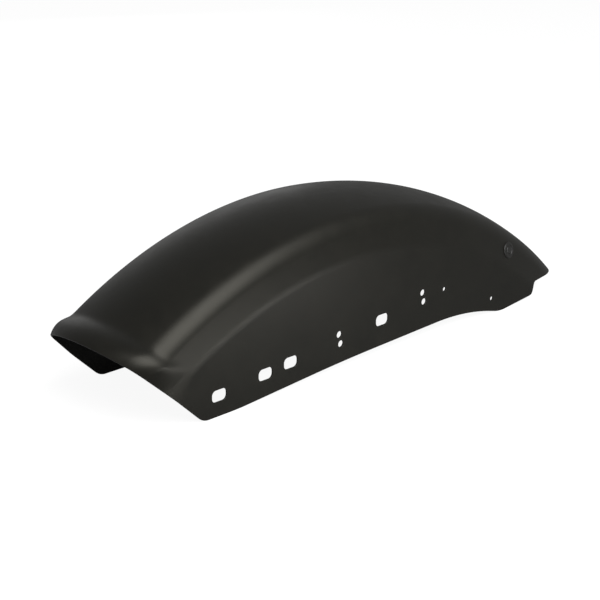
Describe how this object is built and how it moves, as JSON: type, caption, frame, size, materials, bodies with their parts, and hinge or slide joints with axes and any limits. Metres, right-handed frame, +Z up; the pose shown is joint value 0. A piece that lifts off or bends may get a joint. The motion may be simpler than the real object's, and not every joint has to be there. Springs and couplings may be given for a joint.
{
  "type": "motorcycle rear fender",
  "caption": "Pressed steel rear fender with a crowned arc, rounded shoulders, flat slotted skirts, a flared rear lip and a notched front end.",
  "frame": {"origin": "on the ground under the middle of the fender, which stands on the low corners of its skirts", "axes": "+X forward from the rear lip to the notched front end, +Y to the left skirt, +Z up"},
  "size_m": [0.7606, 0.1842, 0.192],
  "materials": {
    "coated_steel": "satin black primer",
    "plug": "satin dark grey"
  },
  "bodies": {
    "root": {"fender": "coated_steel", "plug_left": "plug", "plug_right": "plug"}
  },
  "joints": []
}
